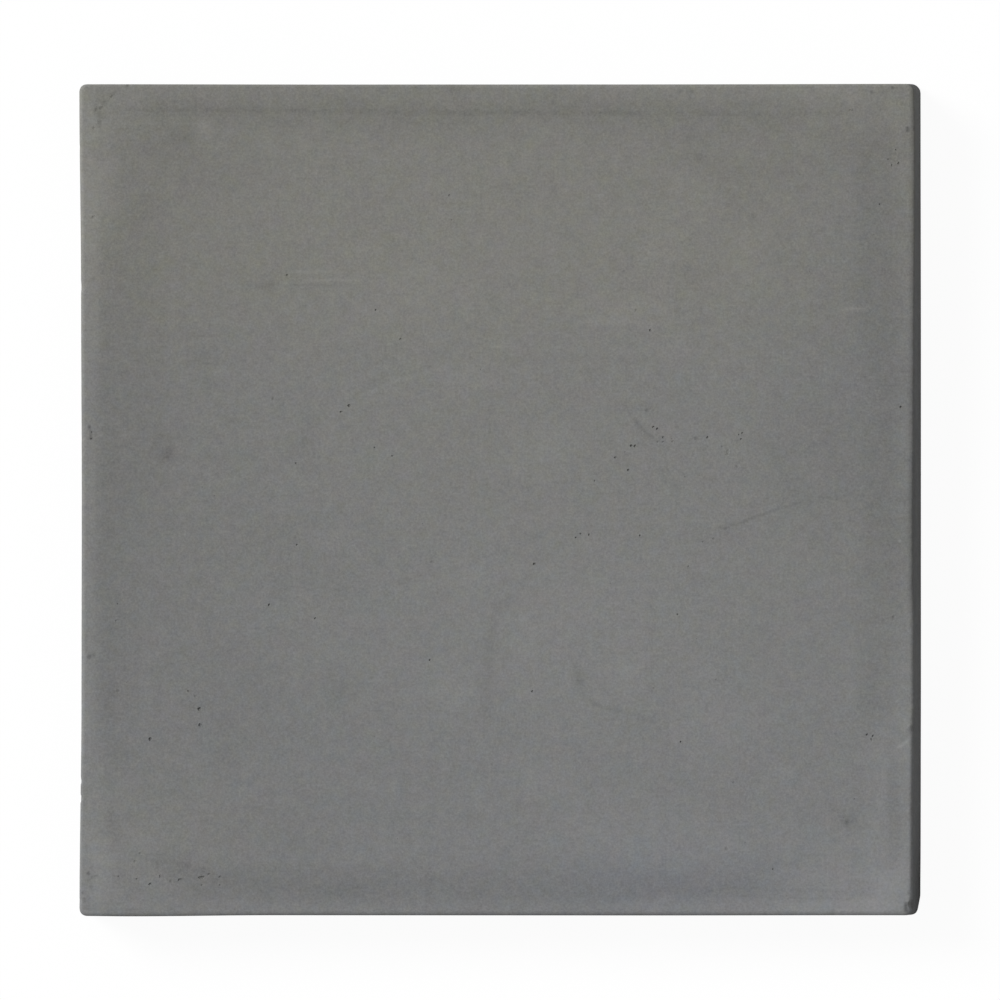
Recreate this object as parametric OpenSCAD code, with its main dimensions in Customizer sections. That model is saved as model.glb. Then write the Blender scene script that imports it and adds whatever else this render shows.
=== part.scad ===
// Flat concrete cap for a wall or pier, cast in one piece.
// It lies on its bed face, centred on the origin, with the finished face up.

/* [Slab] */
// Length along X, across the widest part of the sides
slab_length = 610; // [300:5:900]
// Width along Y, across the widest part of the sides
slab_width = 610; // [300:5:900]
// Thickness from the bed face to the top face
slab_thickness = 50; // [35:1:100]
// Radius of the four corners in plan, where the sides are widest
corner_radius = 7; // [6:0.5:40]

/* [Edges] */
// How far each side leans in on its way up to the top face, so that the casting leaves its mould
side_draft = 1; // [0:0.1:2]
// Radius of the eased arris round the top face
top_arris_radius = 3; // [0.5:0.1:3.5]
// Width and height of the small chamfer round the bed face
bed_chamfer = 1; // [0.5:0.1:3]

/* [Drip groove] */
// Distance from the slab's edge to the outer lip of the groove under the overhang
groove_inset = 25; // [15:1:60]
// Width of the groove's mouth in the bed face
groove_width = 14; // [12:1:20]
// Depth of the groove
groove_depth = 6; // [3:0.5:6]
// Radius of the groove's centre line where it turns a corner
groove_bend_radius = 20; // [15:1:40]

/* [Hidden] */
// A right angle between two sides
quarter_turn = 90;
// How far the corners' centres lie from the middle of the slab
corner_x = slab_length / 2 - corner_radius;
corner_y = slab_width / 2 - corner_radius;
// Lean of the sides away from upright, from the chamfer up
draft_angle = atan(side_draft / (slab_thickness - bed_chamfer));
// How far the side's end is sunk in the arris, so that rounding never leaves a sliver between them
hair = 0.0002;
// The groove is part of a round bar of this radius, whose axis lies at this height
groove_round_radius = (pow(groove_width / 2, 2) + pow(groove_depth, 2)) / (2 * groove_depth);
groove_axis_z = groove_depth - groove_round_radius;
// How far the groove's bends are centred from the middle of the slab
groove_centre_inset = groove_inset + groove_width / 2;
groove_bend_x = slab_length / 2 - groove_centre_inset - groove_bend_radius;
groove_bend_y = slab_width / 2 - groove_centre_inset - groove_bend_radius;

$fn = 96;

// How far out from a corner's centre the leaning side stands at height z
function side_at(z) = corner_radius - (z - bed_chamfer) * tan(draft_angle);

// The slab's edge in section, from a corner's centre out to the side.
// The arris is an arc that touches both the top face and the leaning side.
module edge_section() {
    arris_z = slab_thickness - top_arris_radius;
    arris_x = side_at(arris_z) - top_arris_radius / cos(draft_angle);
    side_end = top_arris_radius - hair;
    polygon([
        [0, 0],
        [corner_radius - bed_chamfer, 0],
        [corner_radius, bed_chamfer],
        [arris_x + side_end * cos(draft_angle), arris_z + side_end * sin(draft_angle)],
        [arris_x, slab_thickness],
        [0, slab_thickness]
    ]);
    translate([arris_x, arris_z])
        intersection() {
            circle(r = top_arris_radius);
            square(2 * top_arris_radius);
        }
}

// The straight edges on two opposite sides, along Y
module straight_edges(spread, run) {
    for (turn = [0, 2 * quarter_turn])
        rotate([0, 0, turn])
            translate([spread, 0, 0])
                rotate([quarter_turn, 0, 0])
                    linear_extrude(height = run, center = true) edge_section();
}

// Puts its child at each of four corners, turned to face outwards
module at_corners(x, y) {
    translate([x, y, 0]) children();
    translate([-x, y, 0]) rotate([0, 0, quarter_turn]) children();
    translate([-x, -y, 0]) rotate([0, 0, 2 * quarter_turn]) children();
    translate([x, -y, 0]) rotate([0, 0, 3 * quarter_turn]) children();
}

// The slab before its groove: a block with the edge section run round it and turned at the corners
module slab_blank() {
    translate([-corner_x, -corner_y, 0])
        cube([2 * corner_x, 2 * corner_y, slab_thickness]);
    straight_edges(corner_x, 2 * corner_y);
    rotate([0, 0, quarter_turn]) straight_edges(corner_y, 2 * corner_x);
    at_corners(corner_x, corner_y)
        rotate_extrude(angle = quarter_turn) edge_section();
}

// Two parallel straight runs of the groove's round bar, along Y
module groove_runs(spread, run) {
    for (side = [-1, 1])
        translate([side * spread, 0, groove_axis_z])
            rotate([quarter_turn, 0, 0])
                cylinder(r = groove_round_radius, h = run, center = true);
}

// The round bar bent into a ring, which the drip groove is the print of
module groove_ring() {
    groove_runs(groove_bend_x + groove_bend_radius, 2 * groove_bend_y);
    rotate([0, 0, quarter_turn])
        groove_runs(groove_bend_y + groove_bend_radius, 2 * groove_bend_x);
    at_corners(groove_bend_x, groove_bend_y)
        rotate_extrude(angle = quarter_turn)
            translate([groove_bend_radius, groove_axis_z]) circle(r = groove_round_radius);
}

module cap_slab() {
    color("#7b7b79")
        difference() {
            slab_blank();
            groove_ring();
        }
}

cap_slab();
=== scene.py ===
import math
import random

import bpy
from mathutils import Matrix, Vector, noise
from mathutils.geometry import delaunay_2d_cdt


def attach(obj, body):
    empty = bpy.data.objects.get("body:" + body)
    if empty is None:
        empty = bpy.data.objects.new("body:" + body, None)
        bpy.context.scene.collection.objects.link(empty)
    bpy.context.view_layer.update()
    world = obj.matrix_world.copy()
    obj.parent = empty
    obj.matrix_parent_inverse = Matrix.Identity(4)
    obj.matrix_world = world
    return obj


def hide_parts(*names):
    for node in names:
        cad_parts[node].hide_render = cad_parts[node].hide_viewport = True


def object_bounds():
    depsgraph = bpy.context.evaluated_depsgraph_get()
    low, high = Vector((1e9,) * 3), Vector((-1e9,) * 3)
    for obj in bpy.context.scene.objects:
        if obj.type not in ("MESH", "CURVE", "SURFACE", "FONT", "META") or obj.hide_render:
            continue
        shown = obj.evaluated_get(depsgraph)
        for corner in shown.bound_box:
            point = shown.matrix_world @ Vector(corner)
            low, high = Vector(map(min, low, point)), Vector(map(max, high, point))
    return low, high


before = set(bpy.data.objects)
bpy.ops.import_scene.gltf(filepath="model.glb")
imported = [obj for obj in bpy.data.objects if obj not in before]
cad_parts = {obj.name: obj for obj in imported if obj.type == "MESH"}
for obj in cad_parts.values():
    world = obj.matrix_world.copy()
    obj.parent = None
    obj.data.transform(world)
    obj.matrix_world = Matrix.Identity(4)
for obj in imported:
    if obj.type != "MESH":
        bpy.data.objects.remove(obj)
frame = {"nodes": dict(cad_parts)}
cadLow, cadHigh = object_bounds()
mm = 0.001

# the slab's forms, as the solid has them
slab = {
    "halfX": (cadHigh.x - cadLow.x) / 2,
    "halfY": (cadHigh.y - cadLow.y) / 2,
    "thickness": cadHigh.z - cadLow.z,
    "cornerRadius": 7 * mm,
    "draft": 1 * mm,
    "arris": 3 * mm,
    "chamfer": 1 * mm,
    "grooveInset": 25 * mm,
    "grooveWidth": 14 * mm,
    "grooveDepth": 6 * mm,
    "grooveBend": 20 * mm,
    "hair": 1e-6,              # takes up rounding where two measures meet
}

# how finely each stretch is meshed
weave = {
    "edgeStep": 1.5 * mm,
    "grooveStep": 6 * mm,
    "cornerSteps": 8,
    "arrisSteps": 7,
    "grooveSteps": 10,
    "sideRows": 9,
    "topGrid": 4.2 * mm,
    "sideGrid": 5 * mm,
    "bedGrid": 6 * mm,
    "flatEdge": 0.5 * mm,      # where the top's own grid ends, out from a corner's centre
    "arrisLead": 0.6 * mm,     # a row this far inside the arris keeps its shading narrow
    "holeRings": [(1.45, 0.0), (1.0, 0.0), (0.72, 0.75)],  # of a hole's width, and of its depth
    "holeTurns": 12,
    "smallHole": 1.3 * mm,     # up to this length a hole has fewer spots round it
    "smallHoleTurns": 9,
    "clearOfHole": 1.1,        # of the hole's length, from its middle
    "clearOfEdge": 0.35,       # of the grid's spacing
    "weld": 1e-9,
    "sharpFrom": math.radians(38),
}

# how far each side wanders in from the straight mould line, in millimetres,
# at places along it from its low end to its high end
wander = {
    "east": {
        "top": [(-300, 1.6), (-220, 1.25), (-185, 1.0), (-150, 0.3), (-105, 0.35), (-50, 1.5),
                (-5, 1.5), (50, 1.0), (130, 0.55), (200, 0.2), (265, -0.2), (300, 0.5)],
        "bed": [(-302, 2.3), (-289, 0.5), (-250, 0.3), (-200, 0.2), (-120, 0.1), (100, 0.1), (300, 0.4)],
    },
    "west": {
        "top": [(-300, 0.0), (-150, 1.4), (0, 1.6), (150, 1.1), (300, -0.2)],
        "bed": [(-300, 0.0), (0, 1.2), (300, 0.0)],
    },
    "north": {
        "top": [(-300, 2.3), (-90, 2.7), (40, 2.8), (120, 2.9), (300, 2.7)],
        "bed": [(-300, 2.7), (-90, 3.3), (300, 3.2)],
    },
    "south": {
        "top": [(-300, 2.1), (-270, 1.85), (-160, 2.8), (80, 2.9), (300, 3.3)],
        "bed": [(-300, 3.0), (-270, 2.9), (-160, 3.6), (80, 3.7), (300, 4.0)],
    },
}

# the arris is rubbed rounder on some sides than on others: places along, and how wide
rubbed = {
    "east": [(-200, 0.95), (-120, 1.1), (-40, 1.4), (230, 1.4), (300, 1.2)],
    "west": [(-210, 0.7), (-150, 1.05), (300, 1.05)],
    "north": [(-60, 0.65), (20, 1.0), (100, 1.0), (180, 0.65)],
    "south": [(-300, 1.1), (300, 1.2)],
}

# and how deep it is for its width
sunk = {
    "east": [(-200, 1.0), (-120, 0.8), (-40, 0.45), (230, 0.4), (300, 0.6)],
    "west": [(-300, 1.0), (300, 1.0)],
    "north": [(-60, 1.0), (20, 0.7), (100, 0.7), (180, 1.0)],
    "south": [(-300, 0.6), (300, 0.65)],
}

# how unevenly the arris is rubbed: feature size and share of its width
arrisRipple = [(16 * mm, 0.12), (3 * mm, 0.1)]

# how much squarer each corner is than a quarter circle: is it east, is it north
squarer = {(True, True): 0.0, (False, True): 0.05, (False, False): -0.05, (True, False): 0.1}

# small knocks on the top arris, which round it more: x, y, length and bite, in millimetres
knocks = [
    (304, -168, 7, 1.3), (304, -160, 3, 0.8), (304, 62, 4, 0.5), (304, 214, 5, 0.5),
    (304, 271, 4, 1.4), (303, -299, 12, 1.2), (-304, 45, 5, 0.9), (-304, -113, 5, 0.8),
    (-304, 205, 4, 0.4), (182, 304, 6, 0.5), (-240, 304, 5, 0.5), (-269, 304, 3, 1.4),
    (281, 304, 4, 1.0), (290, 304, 3, 0.8), (-120, -304, 6, 0.5), (246, -304, 8, 0.7),
    (-304, -293, 6, 1.2),
]

# chips that break the upper edge itself: x, y, length, bite and how far down they go
chips = [
    (-304, -218, 5.5, 1.2, 12),
    (-304, -205.5, 5, 0.7, 9),
    (-304, 156, 9, 0.35, 9),
    (304, -168, 4, 0.5, 6),
    (304.5, -296, 8, 1.7, 12),
    (-304, 258, 5, 0.3, 7),
]

# gentle rises and falls of the two big faces: feature size and depth,
# and the height at which each takes its noise, so that they differ
swell = {
    "top": [(110 * mm, 0.10 * mm), (28 * mm, 0.03 * mm)],
    "bed": [(70 * mm, 0.18 * mm), (14 * mm, 0.07 * mm)],
    "noiseAt": {"top": 0.0, "bed": 40 * mm},
}

# air holes in the top face, from broken bubbles: x, y and width in millimetres
airHoles = {
    "lone": [
        (-217.3, -152.8, 2.6), (-216.7, -164.6, 2.3), (-253.2, -174.6, 2.6), (-166.3, -76.7, 1.9),
        (27.9, -46.7, 2.1), (-107.6, 68.9, 2.3), (-34.3, 223, 1.3), (-88.2, 139, 1.5),
        (-70.1, 117.8, 1.4), (-146.8, 26.8, 1.5), (-89.2, 38.3, 1.3), (-146, -32.8, 1.4),
        (-132.6, -86.6, 1.4), (-48.7, -117.2, 1.6), (26.2, -140, 1.8), (134.5, -176.9, 1.5),
        (270.2, -171.8, 1.8), (295.1, 67.9, 2.1), (278.9, 216.1, 1.3), (202.2, -270.2, 1.2),
        (140.4, -48.6, 1.1), (104.9, -26, 1.6), (61.6, -24.7, 1.4), (67.8, -25.5, 1.5),
        (58.1, -27.5, 1.4), (132.2, -83.7, 1.5), (-225.6, -139.6, 1.3), (112.2, 124.1, 1.7),
        (-153, 164.6, 1.5), (-275.6, -274.8, 1.2), (-262.3, -276.7, 1.2), (-296.8, 53.6, 1.4),
        (-296.8, 44.6, 1.4), (-296.2, 49.7, 1.2), (-113.6, 64.5, 1.6), (-76.2, 32.2, 1.3),
        (284.7, 249, 1.2), (290.2, 255.9, 1.1),
    ],
    "swarm": [
        (87, 31, 1.7), (96.4, 21.9, 2.0), (98.6, 39.6, 2.2), (101.2, 39.5, 1.9), (114.6, 53.4, 1.6),
        (117.5, 52, 1.8), (121.8, 45.7, 1.7), (154.1, 45.7, 1.7), (178.6, 44.6, 1.3),
        (179.4, 48.9, 1.5), (177, 47.8, 1.2), (71.8, 14, 1.1), (94, 35.1, 0.9),
    ],
    "soft": [
        (110.3, 65.4, 3.4), (146.2, 44.6, 3.4), (165, 39, 1.6), (168.9, 35.5, 2.7),
        (168.4, 33.4, 2.1), (175.8, 24.3, 2.1), (138.1, 17.1, 1.4), (117.9, 42.5, 1.8),
        (121.8, 42.6, 1.5), (128.1, 44.6, 1.4), (128.7, 42.6, 1.7), (-291.3, 285.3, 3.2),
        (-287.6, 286.6, 2.8), (-288.6, 275.9, 4.0), (-293.3, 271.9, 2.6), (-279.9, 294.9, 2.2),
        (-294.4, 206.7, 2.4), (257.6, 284.8, 1.7), (259.4, 285, 1.9), (-237.2, -278.6, 2.3),
        (151, -30.7, 1.6), (158.9, -28.5, 2.0), (-277, -139.4, 2.6), (101.9, 138.6, 2.0),
        (-263.6, -264, 2.0), (-259.8, -258, 2.1), (261.8, -219, 1.8), (168.3, -255.2, 3.0),
        (289.4, -86, 2.6), (-163.4, 73.9, 2.4), (-46.9, -45.6, 2.8), (-220.4, -143.6, 1.9),
        (-278.4, -88.2, 1.9), (-277.2, -76, 1.5), (160.1, -131.4, 1.6), (173.3, -206.9, 1.8),
        (-214.5, -281.6, 1.7), (-201.4, -281.8, 1.8),
    ],
    # long ones: x, y, width, length and turn
    "drawn": [
        (-252.3, -280.4, 1.8, 2.9, 30), (-230.5, -277.4, 1.8, 3.8, 15), (-214.9, -276, 2.1, 5.2, 5),
        (-209.6, -273.6, 1.0, 2.4, 10), (-245.2, -274.8, 1.1, 2.6, 88), (287.4, 244.6, 0.9, 2.4, 88),
        (292.3, 246.2, 1.4, 2.2, 75), (-201.5, -275.6, 1.0, 2.4, 30), (274.6, -172.8, 1.6, 2.4, 60),
        (273.5, -175.4, 1.1, 3.0, 95),
    ],
    "seed": 24,
    "strays": 45,
    "strayWidth": (0.5, 0.8),
    "strayReach": 0.94,        # of the way from the middle to the edge
    "sideCount": 16,
    "sideWidth": (0.9, 2.4),
    "sideReach": 0.97,
    "sideHeights": (5 * mm, 43 * mm),
    "bedCount": 70,
    "skirtCount": 23,          # those of the bed outside the groove
    "bedWidth": (1.0, 3.4),
    "apart": 4 * mm,
    "clearOfArris": 0.8,       # of a hole's length
    "depth": 0.42,             # of a hole's width
    "softDepth": 0.27 * mm,
    "darkFrom": 0.4 * mm,      # a hollow this deep or deeper gets the full painted shade of an air hole
    "unevenness": 0.3,
    "lumps": 0.9,              # feature size of that unevenness on a round of radius 1
    "lumpStep": 3.7,           # from one hole's noise to the next one's
    "stretch": 1.35,           # the most that a plain hole is longer than wide
    "stretchStep": 1.7,
    "turnStep": 2.4,
}


def ease(t):
    t = min(max(t, 0.0), 1.0)
    return t * t * (3 - 2 * t)


def between(low, high, share):
    return low + (high - low) * share


def follow(points, at):
    # a smooth run through given (place, value) pairs
    if at <= points[0][0]:
        return points[0][1]
    for (a, low), (b, high) in zip(points, points[1:]):
        if at <= b:
            return between(low, high, ease((at - a) / (b - a)))
    return points[-1][1]


def ripple(size, x, y, z=0.0):
    # smooth noise from -1 to 1 with features about this big
    return noise.noise(Vector((x, y, z)) / size)


def makeObject(name, data):
    made = bpy.data.objects.new(name, data)
    bpy.context.scene.collection.objects.link(made)
    return made


def swellOf(face, x, y):
    # never negative, so that the faces stay inside the true form
    lift = swell["noiseAt"][face]
    return sum(depth * (1 + ripple(size, x, y, lift)) for size, depth in swell[face])


def settle(x, y, z):
    # takes a spot of the true form to where the cast slab has it
    overX = abs(x) - slab["halfX"] + slab["cornerRadius"]
    overY = abs(y) - slab["halfY"] + slab["cornerRadius"]
    if min(overX, overY) > 0:
        push = squarer[(x > 0, y > 0)] * (2 * overX * overY / (overX ** 2 + overY ** 2)) ** 2
        x += math.copysign(overX * push, x)
        y += math.copysign(overY * push, y)
    height = z / slab["thickness"]
    acrossX = wander["east" if x > 0 else "west"]
    acrossY = wander["north" if y > 0 else "south"]
    inX = between(follow(acrossX["bed"], y / mm), follow(acrossX["top"], y / mm), height) * mm
    inY = between(follow(acrossY["bed"], x / mm), follow(acrossY["top"], x / mm), height) * mm
    for chipX, chipY, length, bite, deep in chips:
        away = math.hypot(x / mm - chipX, y / mm - chipY) / (length / 2)
        if away < 1:
            high = ease((z - slab["thickness"]) / (deep * mm) + 1)
            inX += bite * mm * (1 - away * away) * high
    down = swellOf("top", x, y) * ease(2 * height - 1)
    up = swellOf("bed", x, y) * ease(1 - 2 * height)
    return (x - inX * x / slab["halfX"], y - inY * y / slab["halfY"], z - down + up)


def boxDepth(x, y, halfX, halfY, radius):
    # how far a spot lies inside a rectangle with round corners
    overX, overY = abs(x) - halfX + radius, abs(y) - halfY + radius
    return radius - math.hypot(max(overX, 0), max(overY, 0)) - min(max(overX, overY), 0)


# broad tones of the top face, in steps that are each just visible; all lengths in millimetres
tones = {
    "frameRadius": 60,
    "frameWaver": (60, 2.4),   # feature size, and how far in or out
    "frame": {"west": -2.5, "east": -3.5, "north": -5.5, "south": -5.5},
    "frameRise": (9, 20),
    "frameFall": (22, 52),
    "acrossBlend": 100,        # how wide one side's tone runs into the opposite one's
    "cornerBlend": 60,         # and into its neighbour's
    # bands that run along a side: from and to, how far in, half-width, steps
    "bands": {
        "west": [
            (205, 300, 11, 25, 7.0), (145, 205, 6, 15, 8.0), (95, 145, 6, 14, 7.5),
            (-180, 95, 4, 13, 6.2), (-290, -180, 9, 20, 4.5), (-10, 300, 50, 20, -2.0),
        ],
        "north": [
            (-305, -215, 46, 16, -3.5), (215, 305, 46, 16, -4.0), (-210, 60, 9, 7, -1.8),
            # the last is a painted highlight along the north arris
            (-305, 305, 1.5, 2.5, 9.0),
        ],
        "south": [
            (-215, -70, 33, 9, -1.5), (150, 300, 8, 12, 4.0), (195, 300, 28, 14, 4.5),
        ],
        "east": [
            (-300, -175, 28, 13, 3.5), (-262, -192, 15, 7, -4.0), (-70, -15, 8, 18, -3.0),
            (-60, 50, 33, 8, -1.6), (125, 255, 38, 10, -2.2),
        ],
    },
    "bandFade": 20,
    "bandSoft": 0.65,          # of the half-width
    "bandWaver": 40,
    # pools: x, y, half-widths, steps
    "pools": [
        # across the whole face
        (-290, 0, 190, 420, -4.5), (288, 100, 130, 280, -4.8), (-120, -190, 150, 90, -1.5),
        (40, -80, 170, 120, 1.5), (0, 170, 160, 110, 1.0), (290, -275, 110, 70, 7.0),
        (95, -240, 100, 40, 3.0), (-190, -140, 90, 70, -2.0), (67, -105, 110, 90, 2.0),
        (-135, -30, 95, 45, -3.0), (180, 240, 115, 36, -4.0),
        # the north-west corner
        (-300, 250, 22, 110, 3.0), (-210, 240, 75, 36, -3.0), (-262, 276, 26, 32, 6.5),
        (-286, 288, 18, 20, -8.0), (-256, 212, 22, 16, -2.0), (-213, 268, 11, 14, 7.0),
        (-229, 265, 11, 14, -3.5), (-266, 256, 20, 14, 2.5), (-215, 102, 26, 14, -3.5),
        # the north-east corner
        (240, 292, 60, 26, 4.0), (268, 274, 32, 28, 5.0), (277, 284, 16, 18, -6.0),
        (284, 258, 22, 12, 3.0), (228, 258, 24, 24, 4.0), (267, 236, 14, 20, -2.0),
        (178, 212, 26, 20, -3.0), (140, 256, 24, 16, -3.0), (182, 175, 16, 44, 3.0),
        (120, 185, 30, 44, 3.0), (140, 228, 28, 22, 3.0), (292, 92, 10, 16, -3.5),
        # the top middle
        (-60, 150, 75, 42, 2.4), (-168, 156, 14, 8, -4.0), (-100, 178, 22, 12, 3.0),
        (-95, 128, 50, 20, 1.2), (-24, 90, 34, 20, 3.5), (98, 138, 42, 16, 4.0),
        (132, 110, 14, 20, 3.5), (140, 165, 26, 22, -2.5), (-32, 298, 12, 8, -4.0),
        (-76, 290, 14, 8, 4.0), (35, 270, 56, 10, 2.5),
        # the middle
        (-240, 40, 16, 14, -4.0), (-240, 35, 8, 7, -4.0), (-138, 42, 12, 34, -4.0),
        (32, 35, 50, 34, 3.0), (225, 30, 62, 75, -3.0), (228, 22, 16, 16, 4.0),
        (298, 0, 10, 14, -5.0), (-118, -32, 34, 22, 3.5), (-158, -60, 16, 14, -3.5),
        (-118, -64, 20, 18, -2.5), (-20, -52, 32, 20, 3.0), (20, -98, 16, 34, 2.5),
        # the lower part
        (-112, -137, 22, 22, -4.0), (-281, -140, 8, 20, -3.5), (-35, -138, 44, 36, 3.5),
        (94, -126, 18, 26, 4.0), (62, -129, 9, 11, -4.0), (145, -56, 8, 7, -3.5),
        (148, -125, 14, 14, 3.0), (160, -160, 55, 45, 3.0), (271, -140, 13, 60, -2.8),
        (280, -205, 6, 40, 2.5), (35, -200, 44, 30, 2.5), (-85, -208, 36, 12, 3.5),
        (-198, -186, 24, 14, -3.0), (-150, -240, 75, 36, -3.0),
        # the south-west corner
        (-300, -270, 40, 70, 5.0), (-299, -270, 8, 30, -5.0), (-258, -258, 42, 42, 4.5),
        (-275, -215, 20, 34, 3.0), (-245, -258, 36, 12, -5.0), (-247, -284, 30, 16, 6.0),
        (-228, -269, 26, 8, -4.0), (-165, -277, 50, 9, -1.5), (-108, -283, 50, 9, -3.5),
        (-285, -262, 12, 10, 4.0),
        # the south-east corner
        (292, -180, 35, 75, 4.5), (245, -292, 75, 30, 4.5), (209, -198, 12, 12, 6.0),
        (170, -250, 26, 16, 3.5), (210, -240, 16, 30, 2.5), (118, -294, 44, 10, 3.5),
        (272, -282, 22, 14, -5.0), (140, -262, 100, 50, 1.5), (256, -232, 17, 13, -5.5),
        (247, -224, 8, 8, -3.0), (270, -236, 9, 5, -3.0),
    ],
    # darker and lighter patches down the sides: side, along it, height, half-widths, steps
    "sidePatches": [
        ("east", 290, 25, 60, 90, 15.5), ("east", -10, 42, 130, 16, -14.0),
        ("east", -285, 12, 60, 60, -13.0), ("east", 110, 20, 40, 26, 3.0),
        ("east", -310, 0, 115, 70, -38.0),
        ("north", -190, 8, 90, 30, -6.0), ("north", 120, 42, 60, 16, -5.0),
        ("west", 210, 10, 80, 26, -7.0), ("west", -90, 30, 50, 30, 4.0),
        ("south", 60, 6, 120, 24, -6.0), ("south", -230, 40, 50, 18, -5.0),
    ],
    "sidePatchFade": 8,
    # how far below the top face its tones are still full, and where the sides' have taken over
    "topFull": 1.5,
    "topNone": 4.5,
    # the tint goes from cool to warm toward the north: from, over how far, share of the whole
    "tintRises": [(-300, 400, 0.45), (60, 120, 0.55)],
    "tintWaver": (45, 30),
    "tintSeed": 31.0,
    "sideTint": 0.3,           # how much of it the sides have
    # where the tint is warmer (more than 0) or cooler: x, y, half-widths, amount
    "tints": [
        (290, 110, 140, 170, -0.30),
        (130, -280, 220, 60, -0.35),
        (-15, 45, 190, 110, 0.14),
        (-245, -240, 120, 80, 0.36),
        (265, 200, 60, 90, -0.35),
        (105, -275, 90, 36, -0.25),
    ],
}


def spotShare(x, y, middleX, middleY, reachX, reachY):
    # 1 in the middle of a soft round patch, 0 at its rim
    return ease(1 - math.hypot((x - middleX) / reachX, (y - middleY) / reachY))


def fromSides(x, y):
    # how far in from each side a spot is, and where along it, in millimetres
    halfX, halfY = slab["halfX"] / mm, slab["halfY"] / mm
    return {
        "east": (halfX - x, y),
        "west": (halfX + x, y),
        "north": (halfY - y, x),
        "south": (halfY + y, x),
    }


def broadTone(x, y):
    # steps of tone at a spot of the top face, in millimetres
    inset = boxDepth(x, y, slab["halfX"] / mm, slab["halfY"] / mm, tones["frameRadius"])
    size, reach = tones["frameWaver"]
    inset += reach * ripple(size, x, y)
    frame, blend = tones["frame"], tones["acrossBlend"]
    valueX = between(frame["west"], frame["east"], ease(x / blend + 0.5))
    valueY = between(frame["south"], frame["north"], ease(y / blend + 0.5))
    value = between(valueY, valueX, ease((abs(x) - abs(y)) / tones["cornerBlend"] + 0.5))
    (start, end), (near, far) = tones["frameRise"], tones["frameFall"]
    tone = value * ease((inset - start) / (end - start)) * ease((far - inset) / (far - near))
    inFrom = fromSides(x, y)
    fade = tones["bandFade"]
    for side, bands in tones["bands"].items():
        across, along = inFrom[side]
        for low, high, middle, half, steps in bands:
            off = abs(across + ripple(tones["bandWaver"], x, y, middle) - middle)
            ends = ease((along - low + fade) / (2 * fade)) * ease((high + fade - along) / (2 * fade))
            tone += steps * ends * ease((half - off) / (tones["bandSoft"] * half))
    for *patch, steps in tones["pools"]:
        tone += steps * spotShare(x, y, *patch)
    return tone


def sideTone(x, y, z):
    # the same down the sides; a patch fades out round a corner
    tone = 0
    inFrom = fromSides(x, y)
    for side, *patch, steps in tones["sidePatches"]:
        across, along = inFrom[side]
        near = min(max(1 - across / tones["sidePatchFade"], 0), 1)
        tone += steps * near * spotShare(along, z, *patch)
    return tone


def broadTint(x, y):
    # 0 where the concrete is cool, 1 where it is warm
    size, reach = tones["tintWaver"]
    high = y + reach * ripple(size, x, y, tones["tintSeed"])
    tint = sum(share * ease((high - start) / run) for start, run, share in tones["tintRises"])
    for *patch, amount in tones["tints"]:
        tint += amount * spotShare(x, y, *patch)
    return tint


class Station:
    # one place on the way round: a point on the corner centres' path, and the way out from it
    def __init__(self, side, run, centre, out):
        self.side = side
        self.run = run
        self.centre = centre
        self.out = out

    def at(self, reach, z):
        return (self.centre[0] + self.out[0] * reach, self.centre[1] + self.out[1] * reach, z)


# each side's way out, and its way along
sides = {
    "east": ((1, 0), (0, 1)),
    "north": ((0, 1), (-1, 0)),
    "west": ((-1, 0), (0, -1)),
    "south": ((0, -1), (1, 0)),
}


def wayRound(halfX, halfY, step, cornerSteps):
    # each side in turn, with the corner that follows it
    stations = []
    for side, (out, way) in sides.items():
        reach = abs(out[0]) * halfX + abs(out[1]) * halfY
        half = abs(way[0]) * halfX + abs(way[1]) * halfY
        count = round(2 * half / step)
        for i in range(count + 1):
            run = between(-half, half, i / count)
            centre = (out[0] * reach + way[0] * run, out[1] * reach + way[1] * run)
            stations.append(Station(side, run, centre, out))
        for i in range(1, cornerSteps):
            turn = math.pi / 2 * i / cornerSteps
            bent = tuple(math.cos(turn) * o + math.sin(turn) * w for o, w in zip(out, way))
            stations.append(Station("corner", half, centre, bent))
    return stations


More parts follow.
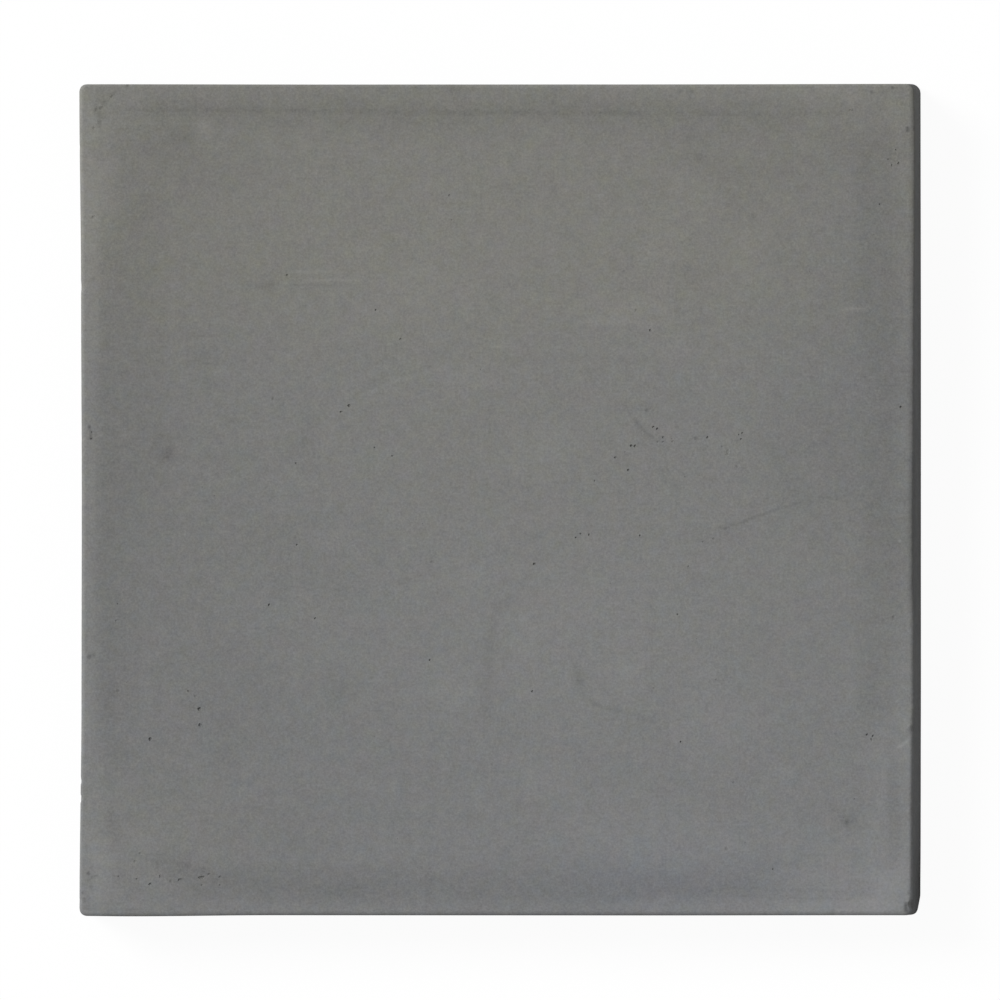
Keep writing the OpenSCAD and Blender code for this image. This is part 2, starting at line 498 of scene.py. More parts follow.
class Skin:
    # gathers the mesh: spots, faces, and what the concrete is like at each spot
    def __init__(self):
        self.spots = []
        self.faces = []
        self.traits = {"hollow": [], "tone": [], "tint": []}

    def add(self, place, hollow=0.0):
        x, y, z = settle(*place)
        none, full = tones["topNone"], tones["topFull"]
        high = ease(((z - slab["thickness"]) / mm + none) / (none - full))
        top, side = broadTone(x / mm, y / mm) if high else 0, sideTone(x / mm, y / mm, z / mm)
        self.spots.append((x, y, z))
        self.traits["hollow"].append(hollow)
        self.traits["tone"].append(between(side, top, high))
        self.traits["tint"].append(between(tones["sideTint"], 1, high) * broadTint(x / mm, y / mm))
        return len(self.spots) - 1

    def row(self, places):
        return [self.add(place) for place in places]

    def strip(self, lower, upper, closed=True):
        # faces between two rows of corners, seen from outside
        for i in range(0 if closed else 1, len(lower)):
            self.faces.append((lower[i - 1], lower[i], upper[i], upper[i - 1]))

    def patch(self, borders, depthAt, spacing, holes, place, flip=False):
        # borders are loops of (u, v, corner); inside them goes a grid that thickens round each hole
        spots = [(u, v) for loop in borders for u, v, corner in loop]
        known = [corner for loop in borders for u, v, corner in loop]
        edges = []
        start = 0
        for loop in borders:
            edges += [(start + i, start + (i + 1) % len(loop)) for i in range(len(loop))]
            start += len(loop)
        for number, hole in enumerate(holes):
            turns = weave["holeTurns"] if hole.length > weave["smallHole"] else weave["smallHoleTurns"]
            for spread, share in weave["holeRings"]:
                for i in range(turns):
                    angle = 2 * math.pi * i / turns
                    bulge = ripple(airHoles["lumps"], math.cos(angle), math.sin(angle),
                                   number * airHoles["lumpStep"])
                    scale = spread / 2 * (1 + airHoles["unevenness"] * bulge)
                    along = hole.length * scale * math.cos(angle)
                    across = hole.width * scale * math.sin(angle)
                    spots.append((hole.u + along * math.cos(hole.turn) - across * math.sin(hole.turn),
                                  hole.v + along * math.sin(hole.turn) + across * math.cos(hole.turn)))
                    known.append(share * hole.depth)
            spots.append((hole.u, hole.v))
            known.append(hole.depth)
        ringed = len(spots)
        lowU, highU = min(s[0] for s in spots), max(s[0] for s in spots)
        lowV, highV = min(s[1] for s in spots), max(s[1] for s in spots)
        columns, rows = round((highU - lowU) / spacing), round((highV - lowV) / spacing)
        near = holeGrid(holes)
        # every other column is moved on by half a step, so that the triangles come out even
        for i in range(columns):
            for j in range(rows):
                u = between(lowU, highU, (i + 0.5) / columns)
                v = between(lowV, highV, (j + (0.25 if i % 2 else 0.75)) / rows)
                clear = all(hole.away(u, v) > weave["clearOfHole"] * hole.length for hole in near(u, v))
                if clear and depthAt(u, v) > spacing * weave["clearOfEdge"]:
                    spots.append((u, v))
        joined = delaunay_2d_cdt([Vector(s) for s in spots], edges, [], 0, weave["weld"])
        flat, _, triangles, sources = joined[:4]
        corners = []
        for source in (min(s) for s in sources):
            if source < start:
                corners.append(known[source])
            else:
                down = known[source] if source < ringed else 0.0
                hollow = min(1.0, down / airHoles["darkFrom"])
                corners.append(self.add(place(*spots[source], down), hollow))
        for triangle in triangles:
            a, b, c = (flat[i] for i in triangle)
            if depthAt(*((a + b + c) / 3)) > 0:
                ccw = (b - a).cross(c - a) > 0
                face = [corners[i] for i in triangle]
                self.faces.append(face if ccw != flip else face[::-1])


def holeGrid(holes, cell=8 * mm):
    # looks holes up by place, so that big patches stay quick
    cells = {}
    for hole in holes:
        i, j = int(hole.u // cell), int(hole.v // cell)
        for a in (i - 1, i, i + 1):
            for b in (j - 1, j, j + 1):
                cells.setdefault((a, b), []).append(hole)
    return lambda u, v: cells.get((int(u // cell), int(v // cell)), [])


class Hole:
    # an air hole: where it is, how wide and long, how it is turned, and how deep
    def __init__(self, u, v, width, length=None, turn=0.0, depth=None):
        self.u = u
        self.v = v
        self.width = width
        self.length = length or width
        self.turn = turn
        self.depth = depth or airHoles["depth"] * width

    def away(self, u, v):
        return math.hypot(u - self.u, v - self.v)


def plainHole(u, v, width, number, depth=None):
    # no two are the same shape
    longer = between(1.0, airHoles["stretch"], 0.5 + 0.5 * math.sin(number * airHoles["stretchStep"]))
    return Hole(u, v, width, width * longer, number * airHoles["turnStep"], depth)


def scatter(count, widths, halfU, lowV, highV, dice, among=(), depthAt=lambda u, v: 1.0):
    # small holes at random, clear of each other, of those already there and of the border
    found = []
    while len(found) < count:
        u, v, width = dice.uniform(-halfU, halfU), dice.uniform(lowV, highV), dice.uniform(*widths) * mm
        clear = all(hole.away(u, v) > airHoles["apart"] for hole in (*among, *found))
        if clear and depthAt(u, v) > airHoles["apart"]:
            found.append(plainHole(u, v, width, len(found)))
    return found


def roundCorner(shares, out, x, y):
    # what two sides' lists give at a place, blended round the corner between them
    acrossX = follow(shares["east" if out[0] > 0 else "west"], y / mm)
    acrossY = follow(shares["north" if out[1] > 0 else "south"], x / mm)
    return out[0] ** 2 * acrossX + out[1] ** 2 * acrossY


def arrisAt(station):
    # the arris is a little uneven, and wider where it took a knock
    x, y, _ = station.at(0, 0)
    uneven = sum((share * ripple(size, x, y) for size, share in arrisRipple), 1)
    wide = slab["arris"] * roundCorner(rubbed, station.out, x, y) * uneven
    deep = wide * roundCorner(sunk, station.out, x, y)
    x, y, _ = station.at(slab["cornerRadius"], 0)
    for knockX, knockY, length, bite in knocks:
        away = math.hypot(x / mm - knockX, y / mm - knockY) / (length / 2)
        wide += bite * mm * max(0.0, 1 - away * away)
        deep += bite * mm * max(0.0, 1 - away * away)
    widest = slab["cornerRadius"] - slab["draft"] - weave["flatEdge"] - 1.5 * weave["arrisLead"]
    return min(wide, widest), min(deep, widest)


def castSlab():
    skin = Skin()
    thickness, radius = slab["thickness"], slab["cornerRadius"]
    tilt = math.atan(slab["draft"] / (thickness - slab["chamfer"]))
    centreX, centreY = slab["halfX"] - radius, slab["halfY"] - radius
    stations = wayRound(centreX, centreY, weave["edgeStep"], weave["cornerSteps"])
    dice = random.Random(airHoles["seed"])

    def sideAt(z):
        return radius - (z - slab["chamfer"]) * math.tan(tilt)

    def loop(places, corners):
        return [(place[0], place[1], corner) for place, corner in zip(places, corners)]

    # the arris, from the top face out and down to the side
    rows = [[] for _ in range(weave["arrisSteps"] + 3)]
    sideTop = []
    for station in stations:
        wide, deep = arrisAt(station)
        arrisZ = thickness - deep
        steepest = math.atan(deep / wide * math.tan(tilt))
        sideTop.append(arrisZ + deep * math.sin(steepest))
        arrisX = sideAt(sideTop[-1]) - wide * math.cos(steepest)
        rows[0].append(station.at(weave["flatEdge"], thickness))
        rows[1].append(station.at(arrisX - weave["arrisLead"], thickness))
        for i in range(weave["arrisSteps"] + 1):
            angle = between(math.pi / 2, steepest, i / weave["arrisSteps"])
            reach, z = arrisX + wide * math.cos(angle), arrisZ + deep * math.sin(angle)
            rows[i + 2].append(station.at(reach, z))
    arrisRows = [skin.row(row) for row in rows]
    for upper, lower in zip(arrisRows, arrisRows[1:]):
        skin.strip(lower, upper)

    # the top face
    deep = [*airHoles["lone"], *airHoles["swarm"]]
    holes = [plainHole(x * mm, y * mm, width * mm, i) for i, (x, y, width) in enumerate(deep)]
    holes += [plainHole(x * mm, y * mm, width * mm, i, airHoles["softDepth"])
              for i, (x, y, width) in enumerate(airHoles["soft"])]
    holes += [Hole(x * mm, y * mm, width * mm, length * mm, math.radians(turn))
              for x, y, width, length, turn in airHoles["drawn"]]
    within = airHoles["strayReach"] * centreY
    holes += scatter(airHoles["strays"], airHoles["strayWidth"], within, -within, within, dice, holes)
    flatEdge = weave["flatEdge"]
    # a hole that would cut into the arris stays out of the flat face
    holes = [hole for hole in holes if boxDepth(hole.u, hole.v, centreX, centreY, flatEdge)
             > airHoles["clearOfArris"] * hole.length]
    skin.patch([loop(rows[0], arrisRows[0])],
               lambda u, v: boxDepth(u, v, centreX + flatEdge, centreY + flatEdge, flatEdge),
               weave["topGrid"], holes, lambda u, v, down: (u, v, thickness - down))

    # the four sides, and the upright strips round the corners
    chamferRow = skin.row([station.at(radius, slab["chamfer"]) for station in stations])
    uprights = {}
    for i, station in enumerate(stations):
        ends = station.side == "corner" or abs(station.run) > max(centreX, centreY) - slab["hair"]
        if ends:
            steps = weave["sideRows"]
            levels = [between(slab["chamfer"], sideTop[i], k / steps) for k in range(1, steps)]
            middle = [skin.add(station.at(sideAt(z), z)) for z in levels]
            corners = [chamferRow[i], *middle, arrisRows[-1][i]]
            uprights[i] = ([slab["chamfer"], *levels, sideTop[i]], corners)
    for i, (levels, corners) in uprights.items():
        before = (i - 1) % len(stations)
        if "corner" in (stations[i].side, stations[before].side):
            skin.strip(corners, uprights[before][1], closed=False)
    for side, (out, way) in sides.items():
        picked = [i for i, station in enumerate(stations) if station.side == side]
        first, last = picked[0], picked[-1]
        half, steps = stations[last].run, len(picked) - 1
        # round the side: along its foot, up one end, back along the arris and down the other end
        border = [(stations[i].run, slab["chamfer"], chamferRow[i]) for i in picked]
        border += [(half, z, corner) for z, corner in list(zip(*uprights[last]))[1:-1]]
        border += [(stations[i].run, sideTop[i], arrisRows[-1][i]) for i in picked[::-1]]
        border += [(-half, z, corner) for z, corner in list(zip(*uprights[first]))[-2:0:-1]]

        def depthAt(u, v):
            spot = min(max((u + half) / (2 * half) * steps, 0), steps - slab["hair"])
            lid = between(sideTop[first + int(spot)], sideTop[first + int(spot) + 1], spot % 1)
            return min(half - abs(u), v - slab["chamfer"], lid - v)

        def place(u, v, down):
            x, y, _ = stations[first].at(sideAt(v) - down, v)
            run = u - stations[first].run
            return (x + way[0] * run, y + way[1] * run, v)

        sideHoles = scatter(airHoles["sideCount"], airHoles["sideWidth"],
                            airHoles["sideReach"] * half, *airHoles["sideHeights"], dice)
        skin.patch([border], depthAt, weave["sideGrid"], sideHoles, place)

    # the chamfer and the bed, with the drip groove between its two parts
    bedSkirt = radius - slab["chamfer"]
    bedPlaces = [station.at(bedSkirt, 0) for station in stations]
    bedRow = skin.row(bedPlaces)
    skin.strip(bedRow, chamferRow)
    half, depth = slab["grooveWidth"] / 2, slab["grooveDepth"]
    curve = (half * half + depth * depth) / (2 * depth)
    inset = slab["grooveInset"] + half + slab["grooveBend"]
    bendX, bendY = slab["halfX"] - inset, slab["halfY"] - inset
    grooveWay = wayRound(bendX, bendY, weave["grooveStep"], weave["cornerSteps"])
    swing = math.asin(half / curve)
    grooveRows = []
    for i in range(weave["grooveSteps"] + 1):
        angle = between(swing, -swing, i / weave["grooveSteps"])
        reach, z = slab["grooveBend"] + curve * math.sin(angle), depth - curve + curve * math.cos(angle)
        grooveRows.append([station.at(reach, max(z, 0.0)) for station in grooveWay])
    grooveCorners = [skin.row(row) for row in grooveRows]
    for outer, inner in zip(grooveCorners, grooveCorners[1:]):
        skin.strip(inner, outer)

    outerLip, innerLip = slab["grooveBend"] + half, slab["grooveBend"] - half

    def skirtDepth(u, v):
        return min(boxDepth(u, v, centreX + bedSkirt, centreY + bedSkirt, bedSkirt),
                   -boxDepth(u, v, bendX + outerLip, bendY + outerLip, outerLip))

    def innerDepth(u, v):
        return boxDepth(u, v, bendX + innerLip, bendY + innerLip, innerLip)

    widths = airHoles["bedWidth"]
    skirtHoles = scatter(airHoles["skirtCount"], widths, centreX, -centreY, centreY, dice,
                         depthAt=skirtDepth)
    skin.patch([loop(bedPlaces, bedRow), loop(grooveRows[0], grooveCorners[0])], skirtDepth,
               weave["bedGrid"], skirtHoles, lambda u, v, down: (u, v, down), flip=True)
    innerHoles = scatter(airHoles["bedCount"], widths, centreX, -centreY, centreY, dice,
                         depthAt=innerDepth)
    skin.patch([loop(grooveRows[-1], grooveCorners[-1])], innerDepth,
               weave["bedGrid"], innerHoles, lambda u, v, down: (u, v, down), flip=True)

    shape = bpy.data.meshes.new("cap_slab_cast")
    shape.from_pydata(skin.spots, [], skin.faces)
    shape.validate()
    shape.shade_smooth()
    shape.set_sharp_from_angle(angle=weave["sharpFrom"])
    for name, values in skin.traits.items():
        shape.attributes.new(name, "FLOAT", "POINT").data.foreach_set("value", values)
    shape.calc_loop_triangles()
    print("slab:", len(shape.vertices), "spots,", len(shape.loop_triangles), "triangles")
    return makeObject("cap_slab_cast", shape)


slabPiece = castSlab()


class Wire:
    # a socket of a node tree, or the bare tree; sums on it add Math nodes
    def __init__(self, tree, socket=None):
        self.tree = tree
        self.socket = socket

    def node(self, kind, settings=None, inputs=None, output=0):
        # any node: its settings first, then values or links for its sockets
        made = self.tree.nodes.new("ShaderNode" + kind)
        for name, value in (settings or {}).items():
            setattr(made, name, value)
        for name, value in (inputs or {}).items():
            if isinstance(value, Wire):
                self.tree.links.new(value.socket, made.inputs[name])
            else:
                made.inputs[name].default_value = value
        return Wire(self.tree, made.outputs[output]) if made.outputs else made

    def math(self, operation, *terms):
        return self.node("Math", {"operation": operation}, dict(enumerate(terms)))

    def __add__(self, other):
        return self.math("ADD", self, other)

    def __radd__(self, other):
        return self.math("ADD", other, self)

    def __sub__(self, other):
        return self.math("SUBTRACT", self, other)

    def __rsub__(self, other):
        return self.math("SUBTRACT", other, self)

    def __mul__(self, other):
        return self.math("MULTIPLY", self, other)

    def __rmul__(self, other):
        return self.math("MULTIPLY", other, self)

    def __abs__(self):
        return self.math("ABSOLUTE", self)

    def most(self, other):
        return self.math("MAXIMUM", self, other)

    def least(self, other):
        return self.math("MINIMUM", self, other)

    def rise(self, start, end, full=1.0):
        # 0 before start, full past end, smooth between; it needs no clamp, and with so many
        # of them clamps would overfill the shader
        settings = {"interpolation_type": "SMOOTHSTEP", "clamp": False}
        inputs = {"Value": self, "From Min": start, "From Max": end, "To Max": full}
        return self.node("MapRange", settings, inputs)

    def fall(self, start, end, full=1.0):
        # full before start, 0 past end
        return self.rise(end, start, full)


def emptyTree(owner):
    owner.use_nodes = True
    owner.node_tree.nodes.clear()
    return Wire(owner.node_tree)


# the colour of the cast concrete; shades are in steps, each a barely visible change of tone.
# Clouds are noise: feature size in millimetres, detail, seed and strength
concrete = {
    "warm": (0.1923, 0.1906, 0.1760),
    "cool": (0.1844, 0.1870, 0.1877),
    "rosy": (0.1960, 0.1815, 0.1880),
    "warmClouds": [(18, 1, 47, 0.08), (6, 0, 53, 0.15)],
    "rosyCloud": (15, 1, 73, 0.12),
    "noiseSpread": 8,          # brings noise to about -1 to 1
    "step": 0.0177,
    "holeShadeShare": 0.25,       # how much darker an air hole is painted: painted shade in its hollow
    "roughness": 0.86,
    "roughCloud": (12, 2, 43, 0.02),
    "specular": 0.2,
    # mottling, from broad to as fine as sand
    "mottling": [(70, 2, 11, 0.2), (24, 1, 13, 0.35), (9, 0, 17, 0.7),
                 (4, 0, 19, 0.9), (2, 0, 23, 1.75), (1.1, 0, 29, 1.9)],
    # the arris, painted lighter: a painted highlight along the rubbed edge; how far below the top it
    # starts and ends
    "arrisFrom": (0.3 * mm, 1 * mm),
    "arrisTo": (2.5 * mm, 4.5 * mm),
    "arrisHighlightSteps": 4.0,
    "arrisCloud": (9, 1, 59, 0.35),
    # the sides, painted darker all over and darker still at the foot where the floor shades them:
    # painted shade; with streaks that run down: pull, feature size and detail
    "sideFrom": (2 * mm, 4 * mm),
    "sidePaintedShade": -9.0,
    "footTo": (3 * mm, 16 * mm),
    "footCloud": (30, 1, 61, 2 * mm),
    "footPaintedShade": -14.0,
    "streaks": ((1, 1, 0.12), 7 * mm, 2),
    "streakShade": 1.2,
    # the bed, drawn along one way
    "bedTo": (8 * mm, 12 * mm),
    "bedEdge": (5 * mm, 6.5 * mm),
    "bedShade": 3.0,
    "bedCloud": (6, 2, 67, 2.0),
    "drawn": ((0.06, 1, 1), 5 * mm, 3),
    "drawnShade": 2.2,
    # the fine relief, in shares of its depth
    "reliefDepth": 0.03 * mm,
    "relief": [(3, 1, 37, 0.3), (1, 1, 41, 0.3)],
    "bedRelief": (4, 2, 71, 1.5),
    "drawnRelief": 1.5,
    # how a mark comes and goes along its length
    "markEnd": 12 * mm,
    "markEndMost": 0.25,       # of its length
    "markLead": 0.3,           # of that end, past each tip
    "markTail": 1.4,
    "markCloud": (14, 1, 7, 0.3 * mm),
}

# trowel and mould marks on the top, and one line of painted shade along air holes: start, end,
# bow to the left, half-width and steps of tone, in millimetres
marks = [
    # the long scratch, and a smear beside it
    ((160, -20.4), (171, -21), 0, 1.8, -5),
    ((163.5, -21.8), (189, -12.8), 0.2, 2.3, -8.5),
    ((183, -15), (212, -4.2), 0.3, 2.0, -7.5),
    ((206, -7), (232, 2), 0.6, 1.7, -3.5),
    ((234, 2.4), (253, 1), 0.3, 1.6, -5),
    ((138, -30.5), (184, -29.5), 0, 3.5, -3),
    # round the swarm of holes
    ((92, 76), (124, 41), -5.6, 2.0, -5),
    ((98, 62), (128, 38), -3.2, 4.0, -3.5),
    ((50, 131), (140, 127), 1, 4.5, 3),
    ((120, 15), (141, 5), 0, 1.6, -3),
    # below the middle
    ((-9, -168), (-3, -84), 0.5, 9, -3.6),
    ((-3, -90), (17, -68), 4, 7, -4.5),
    ((57, -112), (64, -146), -1, 6, -3.5),
    ((64, -146), (98, -156), -1.5, 3, -6),
    ((98, -156), (120, -164), 0, 4, -5),
    ((-114, -66), (47, -18), -8, 3.5, -2),
    ((-146, -158), (-110, -139), -3, 3.0, -2),
    # above it
    ((-100, 74), (-32, 96), 4, 3.0, 3),
    ((-114, 66), (-82, 92), 1, 3.0, -3),
    ((-177, 155), (-157, 158.5), 0.5, 3.4, -5),
    ((-156, 157.2), (-113, 157), 0, 1.3, -5),
    ((-142, 160.3), (-96, 161), 0, 1.8, 7),
    ((-152, 167.5), (-116, 166.5), 0, 2.0, 6),
    # along the four edges
    ((-276, 285.6), (110, 282.6), 0, 3.4, -3.8),
    ((70, 283.4), (262, 282.6), 0, 3.2, -2.4),
    ((-259, -263), (-206, -272.5), 1.5, 3.2, -4),
    ((-282, -222), (-277, -254), -1, 7, -3.2),
    ((200, -285.5), (262, -286), 0, 2.6, -3.5),
    ((205, -291.6), (262, -292), 0, 1.3, -4),
    ((300.3, -293.8), (299.2, -303), 0, 2.8, -36),
    ((298.8, 273.4), (298.9, 268), 0, 1.8, -24),
    ((-276.2, 298.8), (-282, 294.2), 0, 2.2, -6),
    ((-296.4, -276.6), (-289.6, -274.6), 0, 2.4, -11),
    # painted shade along the row of air holes at the west arris
    ((-297, 52.4), (-296.7, 43), 0, 2, -16),
    ((-250, 26), (-235, 38), 0, 5.5, -5),
    ((291, -182), (303, -174.5), 0, 2.2, 12),
    ((264, -243), (281, -242), 0, 1.6, 4),
    ((254, -8), (254, -76), 0, 1.6, 2.5),
    ((248, 139), (277, 141), 0, 2.2, 7),
    ((236, 232), (251, 219), -1, 1.4, -3),
]

# smudges, rough spots and painted shade of air holes on the top: x, y, reach and steps of tone
smudgesAndHoleShade = [
    # painted shade in and round the holes near the corners
    (-291, 285, 4.5, -10), (-285.5, 290.5, 4, -8), (-288.6, 280.5, 5, -10),
    (-289, 274, 3.5, -8), (-268.8, 303, 2, -30),
    (229.8, 298.6, 2.6, -8), (273.4, 298, 2.4, -20), (280.6, 302, 2.2, -12),
    (288.4, 301.2, 2, -18), (133.4, 298.6, 2.4, -12), (142.8, 298.6, 2, -9),
    (301.5, -287.8, 2, -14), (302.6, -297, 1.8, 16),
    (-300.2, -292.4, 3, -13), (-301.5, -287, 2.2, -9), (-299, -298, 2.4, -8),
    (-297.6, -272.8, 2.6, -18), (-295, -268.6, 2.2, -9), (-297.4, -277.4, 2.2, -9),
    (-296, -282.6, 2.4, -9), (-247, -267, 4.5, -6), (-226, -266, 4.5, -5),
    # along the east and the west; the dark ones at the west arris are painted shade of air holes
    (295.6, -136.5, 2.4, 8), (303.2, -151, 3, 9), (298.5, -165, 4, 5),
    (-298, 53.4, 2.4, -26), (-297.2, 45, 2.2, -12), (-293, 48, 2.4, -8), (-290.7, 48, 3, 8),
    (-301.5, -195.5, 5, 9), (-298.2, -114.6, 2.6, -24), (-295.6, -113, 3, -12),
    (-294.8, -100, 2, -7), (-293.6, -221.4, 3, -10), (-292.4, 19.7, 2.6, -9),
    (-295.2, 161.7, 2.6, -11), (295.4, -175.1, 2.6, -8), (281.3, -170, 4, 4),
    (294.9, -30.1, 1.8, 16), (-29, -302, 2.2, -10), (196.3, -302, 2.2, -10),
    # further in
    (-20.5, 126, 5.5, -5), (-142.3, -200.7, 2.4, -9), (256.2, -235.8, 4.5, -16),
    (76, -97, 5.5, -4), (113, -140, 5, -3.5), (-83, 92, 4.5, -6), (-107, 149, 5, -4),
    (-64, -16, 4, -5), (148, 250, 6, -7), (168, 216, 3.4, -9), (186, 207, 4, -6),
]


def makeConcrete():
    material = bpy.data.materials.new("cast_concrete")
    tree = emptyTree(material)
    place = tree.node("TexCoord", output="Object")
    parts = tree.node("SeparateXYZ", inputs={0: place}).socket.node
    x, y, z = (Wire(tree.tree, parts.outputs[i]) for i in range(3))

    def vector(operation, *terms, output=0):
        return tree.node("VectorMath", {"operation": operation}, dict(enumerate(terms)), output)

    def noiseAt(spot, size, detail):
        # noise of about unit spread, with features of this size
        made = tree.node("TexNoise", {}, {"Vector": spot, "Scale": 1 / size, "Detail": detail})
        return (made - 0.5) * concrete["noiseSpread"]

    def cloud(size, detail, seed, strength):
        return noiseAt(vector("ADD", place, (seed, -seed, seed / 2)), size * mm, detail) * strength

    def pulled(pull, size, detail):
        # the same, drawn out along the ways whose pull is small
        return noiseAt(vector("MULTIPLY", place, pull), size, detail)

    def trait(name):
        return tree.node("Attribute", {"attribute_name": name}, output="Fac")

    def onTop(markX, markY):
        # marks move with the top face
        return Vector(settle(markX * mm, markY * mm, slab["thickness"])[:2])

    flat = vector("MULTIPLY", place, (1, 1, 0))
    shade = 0
    # smudges, and painted shade where air holes were not cut
    for dabX, dabY, reach, steps in smudgesAndHoleShade:
        offset = vector("SUBTRACT", flat, (*onTop(dabX, dabY), 0))
        shade = shade + vector("LENGTH", offset, output=1).fall(0, reach * mm, steps)
    waver = cloud(*concrete["markCloud"])
    for start, end, bow, half, steps in marks:
        start = onTop(*start)
        run = onTop(*end) - start
        length = run.length
        way = run / length
        offset = vector("SUBTRACT", flat, (*start, 0))
        u = vector("DOT_PRODUCT", offset, (way.x / length, way.y / length, 0), output=1)
        v = vector("DOT_PRODUCT", offset, (-way.y, way.x, 0), output=1) + waver
        if bow:
            v = v - 4 * bow * mm * u * (1 - u)
        ramp = min(concrete["markEndMost"], concrete["markEnd"] / length)
        lead, tail = concrete["markLead"] * ramp, concrete["markTail"] * ramp
        ends = u.rise(-lead, ramp) * u.fall(1 - tail, 1 + lead)
        shade = shade + ends * abs(v).fall(0, half * mm, steps)

    # those marks are the top's alone; the arris has its painted highlight, the sides their painted
    # shade, and the bed its own look
    drop = slab["thickness"] - z
    shade = trait("tone") + shade * drop.fall(tones["topFull"] * mm, tones["topNone"] * mm)
    # a painted highlight along the arris, lighter in patches
    arrisHighlight = drop.rise(*concrete["arrisFrom"]) * drop.fall(*concrete["arrisTo"])
    shade = shade + concrete["arrisHighlightSteps"] * arrisHighlight * (1 + cloud(*concrete["arrisCloud"]))

    reach = (slab["halfX"] - abs(x)).least(slab["halfY"] - abs(y))
    bed = z.fall(*concrete["bedTo"]) * reach.rise(*concrete["bedEdge"])
    drawn = pulled(*concrete["drawn"])
    shade = shade + bed * (concrete["bedShade"] + concrete["drawnShade"] * drawn
                           + cloud(*concrete["bedCloud"]))
    side = drop.rise(*concrete["sideFrom"]) * (1 - bed)
    low, high = concrete["footTo"]
    foot = z.fall(low, high + cloud(*concrete["footCloud"]))
    # painted shade down the sides, deepest at the foot by the floor; the streaks are the concrete's own
    shade = shade + side * (concrete["sidePaintedShade"] + concrete["footPaintedShade"] * foot
                            + concrete["streakShade"] * pulled(*concrete["streaks"]))
    for spots in concrete["mottling"]:
        shade = shade + cloud(*spots)
    # air holes are painted darker by their depth: painted shade in the hollows
    tone = (1 + shade * concrete["step"]) * (1 - concrete["holeShadeShare"] * trait("hollow"))

    warmth = trait("tint")
    for spots in concrete["warmClouds"]:
        warmth = warmth + cloud(*spots)
    colours = {"data_type": "RGBA", "clamp_factor": False}
    cool, warm, rosy = ((*concrete[name], 1) for name in ("cool", "warm", "rosy"))
    colour = tree.node("Mix", colours, {0: warmth, 6: cool, 7: warm}, 2)
    colour = tree.node("Mix", colours, {0: cloud(*concrete["rosyCloud"]), 6: colour, 7: rosy}, 2)
    colour = tree.node("VectorMath", {"operation": "SCALE"}, {0: colour, "Scale": tone})

    height = bed * (concrete["drawnRelief"] * drawn + cloud(*concrete["bedRelief"]))
    for spots in concrete["relief"]:
        height = height + cloud(*spots)
    depth = concrete["reliefDepth"]
    normal = tree.node("Bump", {}, {"Strength": 1.0, "Distance": depth, "Height": height})
    shader = tree.node("BsdfPrincipled", {}, {
        "Base Color": colour,
        "Roughness": concrete["roughness"] + cloud(*concrete["roughCloud"]),
        "Specular IOR Level": concrete["specular"],
        "Normal": normal,
    })
    tree.node("OutputMaterial", {}, {"Surface": shader})
    return material


slabPiece.data.materials.append(makeConcrete())
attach(slabPiece, "root")
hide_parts("cap_slab")
print("concrete: made")

# the camera, far off and a little east of straight above, so that the east side shows
outlook = {
    "distance": 24.0,
    "lean": math.radians(5.26),
    "frameWidth": 724.9 * mm,
    "sensor": 36.0,
    "slide": 2.65 * mm,
    "clip": (1.0, 60.0),
}


def makeCamera():
    lens = bpy.data.cameras.new("outlook")
    lens.sensor_width = outlook["sensor"]
    lens.lens = outlook["sensor"] * outlook["distance"] / outlook["frameWidth"]
    lens.clip_start, lens.clip_end = outlook["clip"]
    camera = makeObject("outlook", lens)
    lean, far = outlook["lean"], outlook["distance"]
    across, up = outlook["slide"] + far * math.sin(lean), slab["thickness"] + far * math.cos(lean)
    camera.location = (across, 0, up)
    camera.rotation_euler = (0, lean, 0)
    bpy.context.scene.camera = camera


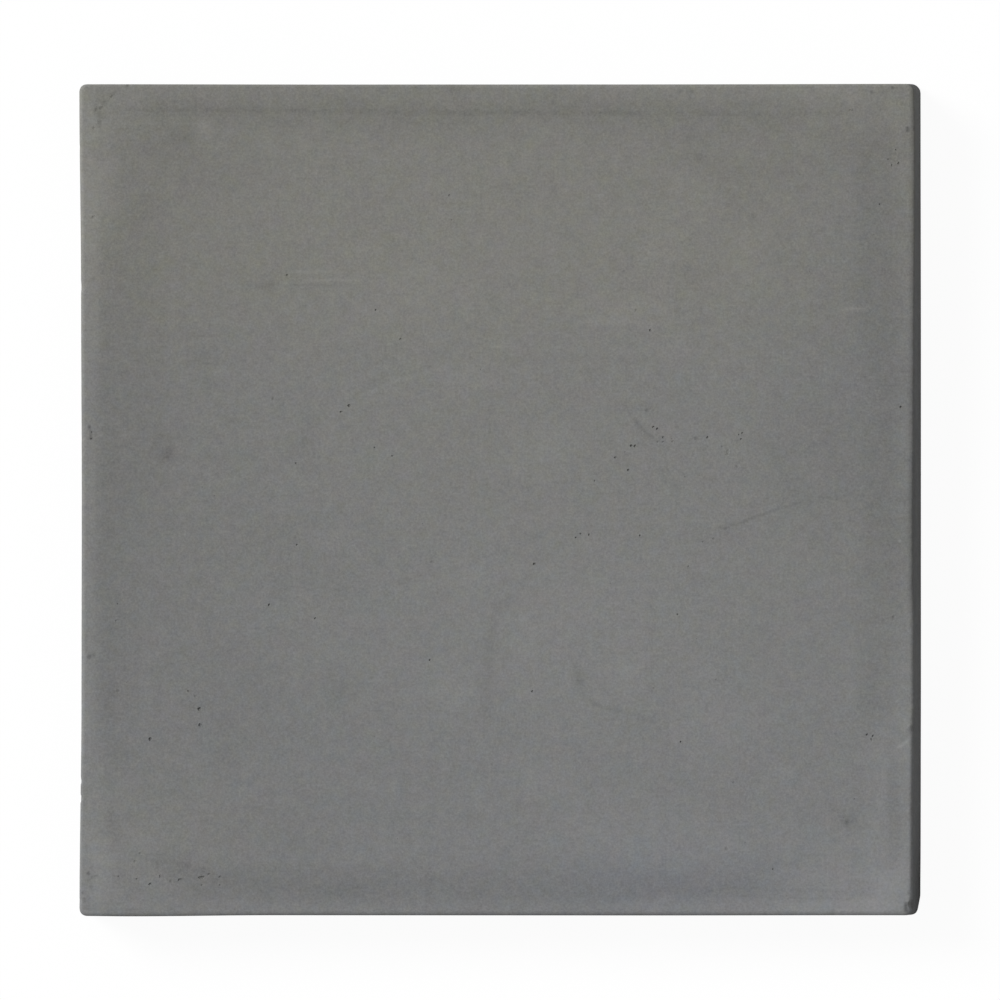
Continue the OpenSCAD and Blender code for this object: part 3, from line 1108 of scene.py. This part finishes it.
# a soft sun from the upper left, an even sky, and a pale floor
daylight = {
    "sunFrom": (-0.66, 0.42, 0.62),
    "sunStrength": 3.18,
    "sunSpread": math.radians(26),
    "sky": 0.36,
    "floorHalf": 4.0,
    "floorDrop": 0.2 * mm,
    "floorTone": 0.22,
    "shadowShare": 0.05,
}


def seenStraight(tree):
    # 1 for what the camera sees, also in a mirror or through glass
    rays = tree.node("LightPath").socket.node
    camera, glossy, through = (Wire(tree.tree, rays.outputs[name]) for name in
                               ("Is Camera Ray", "Is Glossy Ray", "Is Transmission Ray"))
    return camera.most(glossy).most(through)


def makeDaylight():
    lamp = bpy.data.lights.new("sun", "SUN")
    lamp.energy = daylight["sunStrength"]
    lamp.angle = daylight["sunSpread"]
    sun = makeObject("sun", lamp)
    sun.rotation_euler = Vector(daylight["sunFrom"]).to_track_quat("Z", "Y").to_euler()
    world = bpy.data.worlds.new("sky")
    tree = emptyTree(world)
    strength = daylight["sky"] + (1 - daylight["sky"]) * seenStraight(tree)
    sky = tree.node("Background", {}, {"Color": (1, 1, 1, 1), "Strength": strength})
    tree.node("OutputWorld", {}, {"Surface": sky})
    bpy.context.scene.world = world


def makeFloor():
    half = daylight["floorHalf"]
    ways = [(-1, -1), (1, -1), (1, 1), (-1, 1)]
    corners = [(x * half, y * half, -daylight["floorDrop"]) for x, y in ways]
    shape = bpy.data.meshes.new("floor")
    shape.from_pydata(corners, [], [(0, 1, 2, 3)])
    floor = makeObject("floor", shape)
    material = bpy.data.materials.new("pale_floor")
    tree = emptyTree(material)
    tone = daylight["floorTone"]
    plain = tree.node("BsdfDiffuse", {}, {"Color": (tone, tone, tone, 1)})
    glow = tree.node("Emission", {}, {"Color": (1, 1, 1, 1), "Strength": 1.0})
    white = tree.node("BsdfDiffuse", {}, {"Color": (1, 1, 1, 1)})
    pale = tree.node("MixShader", {}, {0: daylight["shadowShare"], 1: glow, 2: white})
    surface = tree.node("MixShader", {}, {0: seenStraight(tree), 1: plain, 2: pale})
    tree.node("OutputMaterial", {}, {"Surface": surface})
    shape.materials.append(material)


makeCamera()
makeDaylight()
makeFloor()
bpy.context.scene.view_settings.view_transform = "Standard"
print("camera, light and floor: made")
